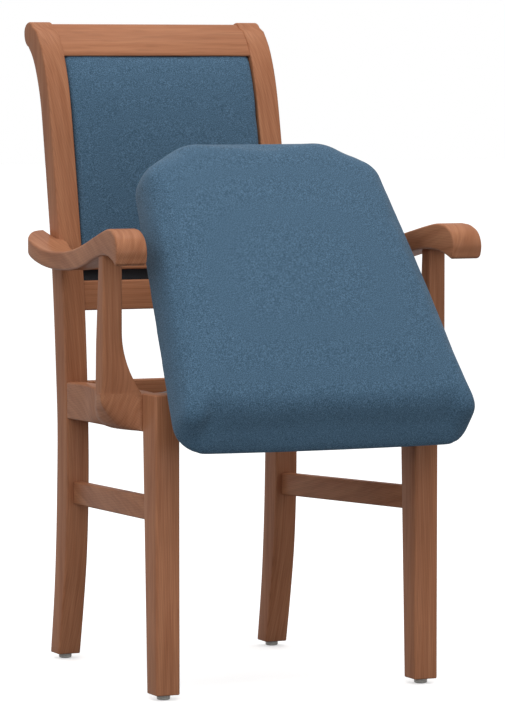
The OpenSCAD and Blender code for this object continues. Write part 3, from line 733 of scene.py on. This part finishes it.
def pad_outline(side_in, front_in, count=9, straight=16):
    """Plan of the seat pad as a closed ring: a trapezium with cut rear corners. Round corner k of radius
    r the point at angle d is middle + (r - draw) (cos d, sin d), where draw goes from side_in to
    front_in with the square of -sin d. A front corner that draws in by more than its radius moves back
    as a whole. The front edge bows by 4 mm times (x / 243)^2."""
    c, r = PAD_CORNERS[:, :2], PAD_CORNERS[:, 2:]
    along = np.roll(c, -1, 0) - c
    after = np.degrees(np.arctan2(-along[:, 0], along[:, 1]))
    before = np.roll(after, 1)
    u, v = (np.stack([np.cos(np.radians(t)), np.sin(np.radians(t))], -1) for t in (before, after))
    middle = c - r * (u + v) / (1 + (u * v).sum(1, keepdims=True))
    d = np.radians(before[:, None] + ((after - before) % 360)[:, None] * np.linspace(0, 1, count))
    draw = side_in + (front_in - side_in) * np.maximum(-np.sin(d), 0) ** 2
    middle[:, 1] += np.where(c[:, 1] == 0, np.maximum(front_in - r[:, 0] + 2, 0), 0)
    arcs = middle[:, None] + np.maximum(r - draw, 2)[..., None] * np.stack([np.cos(d), np.sin(d)], -1)
    t = (np.arange(1, straight + 1) / (straight + 1))[:, None]
    edges = arcs[:, -1:] + (np.roll(arcs, -1, 0)[:, :1] - arcs[:, -1:]) * t
    ring = np.concatenate([arcs, edges], 1).reshape(-1, 2)
    ring[:, 1] += 4 * (ring[:, 0] / PAD_HALF) ** 2 * np.maximum(1 - ring[:, 1] / 150, 0)
    return ring


def edge_in(height, top, radius, reach=None, power=2.0):
    """How far a rounded edge has drawn in at a height below its top: reach (1 - (1 - q^n)^(1/n)), with q
    the share of the radius that is climbed. A power n of 2 is round, and less is closer to a slope."""
    q = np.clip((height - (top - radius)) / radius, 0, 1)
    return (reach or radius) * (1 - (1 - q ** power) ** (1 / power))


def raised(points):
    """Lowered seat to raised seat: turned 54 degrees up about the hinge line."""
    cos, sin = math.cos(SEAT_LIFT), math.sin(SEAT_LIFT)
    y, z = points[..., 1] - HINGE[0], points[..., 2] - HINGE[1]
    return np.stack([points[..., 0], HINGE[0] + y * cos - z * sin, HINGE[1] + y * sin + z * cos], -1)


def vectors(items, key):
    """A vector of each of Blender's items, as the rows of an array."""
    values = np.zeros(len(items) * 3)
    items.foreach_get(key, values)
    return values.reshape(-1, 3)


def cushion(outlines, heights, centre, closing, rise, power):
    """A closed shape of rings: the outlines at their heights, then the last one closing in on the centre
    by shares c while it climbs by rise (1 - (1 - c)^power)."""
    rings = [np.c_[outline, np.full(len(outline), height)] for outline, height in zip(outlines, heights)]
    last = rings[-1]
    for c in closing:
        plan = last[:, :2] + (np.array(centre) - last[:, :2]) * c
        rings.append(np.c_[plan, last[:, 2] + rise * (1 - (1 - c) ** power)])
    return skin(np.array(rings))


def stuffed(name, shape, voxel, swell, pressure, hold):
    """A padded cover by cloth simulation. The closed shape is remeshed on an even grid, its cover is
    blown up by pressure, and each point may move by no more than swell times its own hold, and
    inwards by no more than a millimetre."""
    vertices, faces = shape
    mesh = bpy.data.meshes.new(name)
    mesh.from_pydata((np.asarray(vertices) * MM).tolist(), [], faces)
    piece = in_scene(name, mesh)
    welded(mesh)
    bpy.context.view_layer.objects.active = piece
    mesh.remesh_voxel_size = voxel
    mesh.remesh_voxel_adaptivity = 0
    bpy.ops.object.voxel_remesh()
    mesh = piece.data
    start = vectors(mesh.vertices, "co")
    soft = piece.modifiers.new("Cloth", "CLOTH")
    for key, value in {"quality": 4, "mass": 0.3, "tension_stiffness": 5, "compression_stiffness": 5,
                       "shrink_min": -0.03, "bending_stiffness": 0.5, "use_pressure": True,
                       "uniform_pressure_force": pressure}.items():
        setattr(soft.settings, key, value)
    soft.settings.effector_weights.gravity = 0
    soft.point_cache.frame_end = CLOTH_STEPS
    for step in range(1, CLOTH_STEPS + 1):
        bpy.context.scene.frame_set(step)
    blown = piece.evaluated_get(bpy.context.evaluated_depsgraph_get())
    end = vectors(blown.data.vertices, "co")
    piece.modifiers.remove(soft)
    bpy.context.scene.frame_set(1)
    move = end - start
    far = np.linalg.norm(move, axis=1, keepdims=True)
    limit = swell * hold(start / MM)[:, None]
    # Movement levels off at its limit: limit * (1 - exp(-far / limit))
    held = limit * (1 - np.exp(-far / np.maximum(limit, 1e-6)))
    move = move / np.maximum(far, 1e-9) * held
    normals = vectors(mesh.vertex_normals, "vector")
    out = (move * normals).sum(1, keepdims=True)
    start = start + move + normals * np.maximum(-0.001 - out, 0)
    return piece, start


def relaxed(mesh, points, rounds):
    """Points moved to the mean of themselves and their neighbours, several times over."""
    edges = np.zeros(len(mesh.edges) * 2, int)
    mesh.edges.foreach_get("vertices", edges)
    a, b = edges.reshape(-1, 2).T
    degree = np.bincount(np.r_[a, b], minlength=len(points))[:, None]
    for _ in range(rounds):
        total = np.zeros_like(points)
        for axis in range(3):
            total[:, axis] = (np.bincount(a, points[b, axis], len(points))
                              + np.bincount(b, points[a, axis], len(points)))
        points = 0.5 * points + 0.5 * total / np.maximum(degree, 1)
    return points


def finish_cover(piece, points, laid_out, material):
    """Writes the final points (metres, in the frame) and the cloth's own coordinates, and subdivides once."""
    mesh = piece.data
    mesh.vertices.foreach_set("co", np.ascontiguousarray(points, dtype=np.float32).ravel())
    attribute = mesh.attributes.new("laid_out", "FLOAT_VECTOR", "POINT")
    attribute.data.foreach_set("vector", np.ascontiguousarray(laid_out, dtype=np.float32).ravel())
    mesh.update()
    mesh.shade_smooth()
    mesh.materials.clear()
    mesh.materials.append(material)
    finer = piece.modifiers.new("Subdivision", "SUBSURF")
    finer.levels = finer.render_levels = 1


class MakeSeatPad(bpy.types.Operator):
    """Seat pad: a foam cushion upholstered over a plywood board, drawn lowered and turned up"""
    bl_idname = "lift_chair.seat_pad"
    bl_label = "Seat pad"

    def execute(self, context):
        sizes = context.scene.chair_sizes
        heights = np.r_[0, 1, 3, 8, 20, np.linspace(PAD_T - 56, PAD_FACE, 14)[3:]]
        heights = np.unique(heights)
        under = np.where(heights < 8, 8 - np.sqrt(np.maximum(64 - (8 - heights) ** 2, 0)), 0)
        side = edge_in(heights, PAD_T, 24) + under
        front = edge_in(heights, PAD_T, 56, 60, 1.25) + under
        shape = cushion([pad_outline(*edges) for edges in zip(side, front)], heights, (0, PAD_L / 2),
                        (0.12, 0.25, 0.4, 0.55, 0.7, 0.85, 0.97), 7, 2.2)
        piece, points = stuffed("seat_cushion", shape, sizes.voxel, sizes.pad_swell, 4.0,
                                lambda p: 0.12 + 0.88 * ease(p[:, 2], 30, 56))
        points = relaxed(piece.data, points, 3)
        local = points / MM
        local[:, 2] = np.maximum(local[:, 2], 0)
        # The face arches by 12 mm from front to back
        arch = 1 - np.clip(2 * local[:, 1] / PAD_L - 1, -1, 1) ** 2
        local[:, 2] += 12 * arch * ease(local[:, 2], 30, 58)
        placed = local + (0, -PAD_REACH, PAD_Z)
        world = raised(placed)
        world[:, 1] += LEG_FACE
        drop = np.maximum(PAD_T - local[:, 2], 0)
        away = unit(np.c_[local[:, 0] / PAD_HALF, (local[:, 1] - PAD_L / 2) / (PAD_L / 2)])
        laid = np.c_[local[:, :2] + away * drop[:, None], local[:, 2] * 0.2] * MM
        finish_cover(piece, world * MM, laid, cloth("laid_out"))
        settle(piece, "seat", ["seat_pad"])
        return {"FINISHED"}


class MakeBackPad(bpy.types.Operator):
    """Back pad: a thin crowned panel between the posts, bent to their curve, with its cover behind"""
    bl_idname = "lift_chair.back_pad"
    bl_label = "Back pad"

    def execute(self, context):
        half, low, high = REAR_IN + 0.5, 624.0, 951.0
        levels = np.array([0, 0.4, 3, 8, 12, 15, 17.5, 19, 19.8])
        inset = np.r_[2.5, 0.5, 0, 0, 0.6, 1.8, 4, 7, 11]

        def outline(shrink):
            hw, z0, z1, r = half - shrink, low + shrink, high - shrink, 6
            middles = ((hw - r, z0 + r), (hw - r, z1 - r), (r - hw, z1 - r), (r - hw, z0 + r))
            quarters = [arc(middle, r, 90 * k - 90, 90 * k, 4) for k, middle in enumerate(middles)]
            parts = []
            for k, quarter in enumerate(quarters):
                following = quarters[(k + 1) % 4][0]
                t = (np.arange(1, 12) / 12)[:, None]
                parts += [quarter, quarter[-1] + (following - quarter[-1]) * t]
            return np.vstack(parts)

        shape = cushion([outline(i) for i in inset], levels, (0, (low + high) / 2),
                        (0.15, 0.35, 0.6, 0.85), 4, 2)
        piece, points = stuffed("back_cushion", shape, 0.005, 0.004, 2.0,
                                lambda p: 0.05 + 0.95 * ease(p[:, 2], 12, 20))
        points = relaxed(piece.data, points, 4)
        # The opening of the frame, less the gap to the posts and with the top edge in the crest
        opening = np.array([(-REAR_IN + 0.6, 626.3, -9), (REAR_IN - 0.6, 947.6, 99)])
        flat = points / MM
        # Its face arches by 8 mm from the bottom to the top
        flat[:, 2] += 8 * (1 - ((flat[:, 1] - 786) / 160) ** 2) * ease(flat[:, 2], 8, 18)
        flat = np.clip(flat, *opening)
        depth = post_y(flat[:, 1]) + BACK_RECESS + BACK_D - flat[:, 2] + LEG_FACE
        world = np.stack([flat[:, 0], depth, flat[:, 1]], -1)
        laid = np.c_[flat[:, 0], flat[:, 1], flat[:, 2] * 0.5] * MM
        finish_cover(piece, world * MM, laid, cloth("laid_out"))
        settle(piece, "frame", ["back_pad"])
        self.rear_cover()
        return {"FINISHED"}

    def rear_cover(self):
        """Cloth stretched over the board behind: a grid bent to the posts, its face bulging by 1.2 mm."""
        def place(u, v):
            z = 629 + (941 - 629) * v
            bulge = 1.2 * (1 - u ** 6) * (1 - (2 * v - 1) ** 6)
            return u * (REAR_IN - 2), post_y(z) + BACK_RECESS + BACK_D + 8.6 + bulge, z

        piece = open_sheet("back_cover_cloth", grid(40, 60, place), cloth(), 1.2, "frame", ["back_cover"],
                           toward=Vector((0, 1, 0)))


def grid(across, up, place):
    """A sheet's points and faces: place(u, v) for u from -1 to 1 across it and v from 0 to 1 up it."""
    u, v = np.meshgrid(np.linspace(-1, 1, across), np.linspace(0, 1, up))
    points = np.stack(place(u, v), -1).reshape(-1, 3)
    i = (np.arange(up - 1)[:, None] * across + np.arange(across - 1)[None]).ravel()
    return points, np.stack([i, i + 1, i + 1 + across, i + across], -1).tolist()


def open_sheet(name, shape, material, thickness, body, replaces, toward):
    """A single sheet with its face towards a direction, given its thickness by Solidify."""
    mesh = framed_mesh(name, shape)
    mesh.update()
    if mesh.polygons[0].normal.dot(toward) < 0:
        mesh.flip_normals()
    mesh.shade_smooth()
    mesh.materials.append(material)
    piece = in_scene(name, mesh)
    wall = piece.modifiers.new("Thickness", "SOLIDIFY")
    wall.thickness = thickness * MM
    wall.offset = 0
    return settle(piece, body, replaces)


class MakeLinings(bpy.types.Operator):
    """Black linings: the strip in the slot of the back, and the dust cover under the seat"""
    bl_idname = "lift_chair.linings"
    bl_label = "Black linings"

    def execute(self, context):
        black = plain_finish("Black lining cloth", "#101114", "#24262B", 0.8, 0.92, bump=0.3)

        def place(u, v):
            z = 594 + 21 * v
            return u * REAR_IN, post_y(z) + 13 + 1.5 * np.sin(math.pi * v), z

        strip = open_sheet("slot_lining", grid(48, 8, place), black, 1.2, "frame", ["back_lining"],
                           toward=Vector((0, -1, 0)))
        # The dust cover lies 0.6 mm under the pad's base, in rings that close in on its middle
        ring = pad_outline(15, 15)
        rings = [ring + ((0, PAD_L / 2) - ring) * c for c in (0, 0.02, 0.2, 0.4, 0.6, 0.8, 0.96)]
        rings = np.insert(rings, 2, -0.6, axis=-1)
        points, faces = skin(raised(rings + (0, -PAD_REACH, PAD_Z)), closed=False)
        faces.append(list(range(len(points) - len(ring), len(points))))
        cover = open_sheet("dust_cover", (points, faces), black, 0.8, "seat", ["seat_lining"],
                           toward=Vector((0, 0, -1)))
        return {"FINISHED"}


class MakeSmallParts(bpy.types.Operator):
    """Glides and rubber buffers, turned about their own axes"""
    bl_idname = "lift_chair.small_parts"
    bl_label = "Glides and buffers"

    def execute(self, context):
        pale = plain_finish("Pale nylon glide", "#B9B7B2", "#CFCDC8", 3.0, 0.45, bump=0.02)
        disc = [(0.05, 0), (7, 0), (9, 0.6), (9.9, 1.8), (10, 3), (10, 6.4), (9.6, 8.2), (0.05, 8.2)]
        feet = [(s * (HALF_FRONT - LEG_W / 2), 18.5, 0) for s in (-1, 1)]
        feet += [(s * (HALF_REAR - 18.5), 495, 0) for s in (-1, 1)]
        new_piece("glide_discs", joined([lathe(disc, at) for at in feet]), pale, "frame", ["glides"])
        rubber = plain_finish("Black rubber", "#17181A", "#26272A", 1.5, 0.7, bump=0.1)
        buffers = []
        for s in (-1, 1):
            for x, y, low, r in ((122.8, 27, 440, 6.5), (140, 428, 429, 9)):
                tall = PAD_Z - 1.3 - low
                profile = [(0.05, 0), (r - 0.4, 0), (r, 0.6), (r, tall - 2.5), (r - 0.8, tall - 0.7),
                           (r - 2.6, tall), (0.05, tall)]
                buffers.append(lathe(profile, (s * x, y, low)))
        new_piece("rubber_buffers", joined(buffers), rubber, "frame", ["seat_buffers"])
        return {"FINISHED"}


class FinishMechanism(bpy.types.Operator):
    """Gives the carried-over metal, plywood and wooden parts of the lift mechanism their finishes"""
    bl_idname = "lift_chair.mechanism"
    bl_label = "Lift mechanism"

    def execute(self, context):
        def pair(part):
            return [f"{part}_{name}" for name in SIDES]

        zinc = plain_finish("Zinc-plated steel", "#9FA3A6", "#C3C7C9", 6.0, 0.32, metallic=1.0, bump=0.02)
        enamel = plain_finish("Black powder-coated steel", "#151618", "#1F2022", 0.6, 0.5, bump=0.12)
        bronze = plain_finish("Sintered bronze", "#8A6A3A", "#B08D55", 0.5, 0.4, metallic=1.0, bump=0.08)
        ply = plain_finish("Birch plywood", "#B99A6E", "#D3B68B", 5.0, 0.6, bump=0.1, stretch=(1, 8, 8))
        plan = {
            zinc: ["hinge_shaft", "shaft_collars", "strut_nuts", *pair("strut_rod"), "bracket_screws",
                   "neck_screws", "lever_screws", *pair("pivot_bracket")],
            enamel: [*pair("swan_neck"), *pair("strut_cylinder"), "strut_saddles", *pair("slot_lever")],
            bronze: pair("hinge_bush"),
            ply: ["seat_board", "back_board"],
            wood("z", 33): ["corner_blocks", "arm_dowels"],
        }
        for material, nodes in plan.items():
            for node in nodes:
                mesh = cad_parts[node].data
                mesh.materials.clear()
                mesh.materials.append(material)
        return {"FINISHED"}


class MakeStage(bpy.types.Operator):
    """Pale floor, soft lamps, white surround and the camera"""
    bl_idname = "lift_chair.stage"
    bl_label = "Stage"

    def execute(self, context):
        look = context.scene.chair_stage
        self.floor()
        self.surround(look.ambient)
        for name, place, aim, size, power in (
                ("key", (-0.7, -2.2, 3.9), (0, 0, 0.6), 1.1, look.key),
                ("top", (0.4, 0.4, 3.8), (0, 0, 0.5), 2.0, look.key * 0.75),
                ("fill", (-2.9, -3.1, 1.9), (0, 0, 0.4), 2.4, look.fill),
                ("low_fill", (1.2, -4.2, 0.5), (0, 0, 0.1), 1.2, look.fill * 0.3)):
            lamp = bpy.data.lights.new(name, "AREA")
            lamp.shape, lamp.size, lamp.energy = "SQUARE", size, power
            holder = in_scene(name, lamp)
            holder.location = place
            holder.rotation_euler = (Vector(aim) - Vector(place)).to_track_quat("-Z", "Y").to_euler()
        camera = bpy.data.cameras.new("camera")
        camera.lens = look.lens
        camera.sensor_width = 36
        camera.sensor_height = 36
        camera.sensor_fit = "AUTO"
        camera.clip_end = 50
        holder = in_scene("camera", camera)
        holder.location = look.eye
        holder.rotation_euler = (math.pi / 2 - look.dip, 0, look.turn)
        context.scene.camera = holder
        context.scene.view_settings.view_transform = "Standard"
        return {"FINISHED"}

    def floor(self):
        """A flat pale floor whose own white is topped up for the camera, so that its shadow stays."""
        material, tree, shader = new_material("Pale studio floor")
        shown = self.ray(tree, "Is Camera Ray", "Is Glossy Ray", "Is Transmission Ray")
        pale = add(tree, "Mix", {"data_type": "RGBA"}, links={"Factor": shown})
        pale.inputs[COLOUR_A].default_value = linear("#646464")
        pale.inputs[COLOUR_B].default_value = linear("#F2F2F2")
        feed(tree, shader, {"Base Color": pale.outputs[COLOUR_RESULT],
                            "Emission Strength": maths(tree, "MULTIPLY", shown, 0.55)},
             Roughness=0.9, Specular_IOR_Level=0.1, Emission_Color=(1, 1, 1, 1))
        size = 30
        mesh = bpy.data.meshes.new("floor")
        corners = [(-size, -size, 0), (size, -size, 0), (size, size, 0), (-size, size, 0)]
        mesh.from_pydata(corners, [], [(0, 1, 2, 3)])
        mesh.materials.append(material)
        in_scene("floor", mesh)

    def ray(self, tree, *kinds):
        """One for a ray of any of these kinds, and nought for the others."""
        path = add(tree, "LightPath")
        either = path.outputs[kinds[0]]
        for kind in kinds[1:]:
            either = maths(tree, "MAXIMUM", either, path.outputs[kind])
        return either

    def surround(self, ambient):
        """White where the camera or a gloss sees the world, and a plain even light everywhere else."""
        world = bpy.data.worlds.new("Studio surround")
        world.use_nodes = True
        tree = world.node_tree
        tree.nodes.clear()
        seen = self.ray(tree, "Is Camera Ray", "Is Transmission Ray", "Is Glossy Ray")
        # The even light is stronger from above: 0.7 of it at the horizon and 1.3 overhead
        way = add(tree, "TexCoord")
        split = add(tree, "SeparateXYZ", links={"Vector": way.outputs["Generated"]})
        lift = add(tree, "MapRange", links={"Value": split.outputs["Z"]},
                   To_Min=ambient * 0.7, To_Max=ambient * 1.3)
        even = add(tree, "Background", Color=(1, 1, 1, 1), links={"Strength": lift})
        white = add(tree, "Background", Color=(1, 1, 1, 1), Strength=1.0)
        mix = add(tree, "MixShader", links={0: seen, 1: even, 2: white})
        add(tree, "OutputWorld", links={"Surface": mix})
        bpy.context.scene.world = world


STEPS = (MakeStage, MakeFrontLegs, MakePosts, MakeSideRails, MakeArmPosts, MakeArms, MakeStretchers,
         MakeCrossRails, MakeCrest, MakeSeatPad, MakeBackPad, MakeLinings, MakeSmallParts, FinishMechanism)


class LiftChairPanel(bpy.types.Panel):
    """Sizes, colours and the steps that make the chair"""
    bl_idname = "VIEW3D_PT_lift_chair"
    bl_label = "Lift Chair"
    bl_space_type = "VIEW_3D"
    bl_region_type = "UI"
    bl_category = "Lift Chair"

    def draw(self, context):
        for group in (context.scene.chair_sizes, context.scene.chair_look, context.scene.chair_stage):
            box = self.layout.box()
            for key in group.__annotations__:
                box.prop(group, key)
        for step in STEPS:
            self.layout.operator(step.bl_idname)


GROUPS = {"chair_sizes": ChairSizes, "chair_look": ChairLook, "chair_stage": StageLook}


def register():
    """Adds the classes and their settings to Blender."""
    for group in (*GROUPS.values(), *STEPS, LiftChairPanel):
        bpy.utils.register_class(group)
    for key, group in GROUPS.items():
        setattr(bpy.types.Scene, key, PointerProperty(type=group))


def unregister():
    """Takes them out again."""
    for key in GROUPS:
        delattr(bpy.types.Scene, key)
    for group in (*GROUPS.values(), *STEPS, LiftChairPanel):
        bpy.utils.unregister_class(group)


def main():
    """Runs every step in order."""
    register()
    for step in STEPS:
        family, name = step.bl_idname.split(".")
        getattr(getattr(bpy.ops, family), name)()


if __name__ == "__main__":
    main()
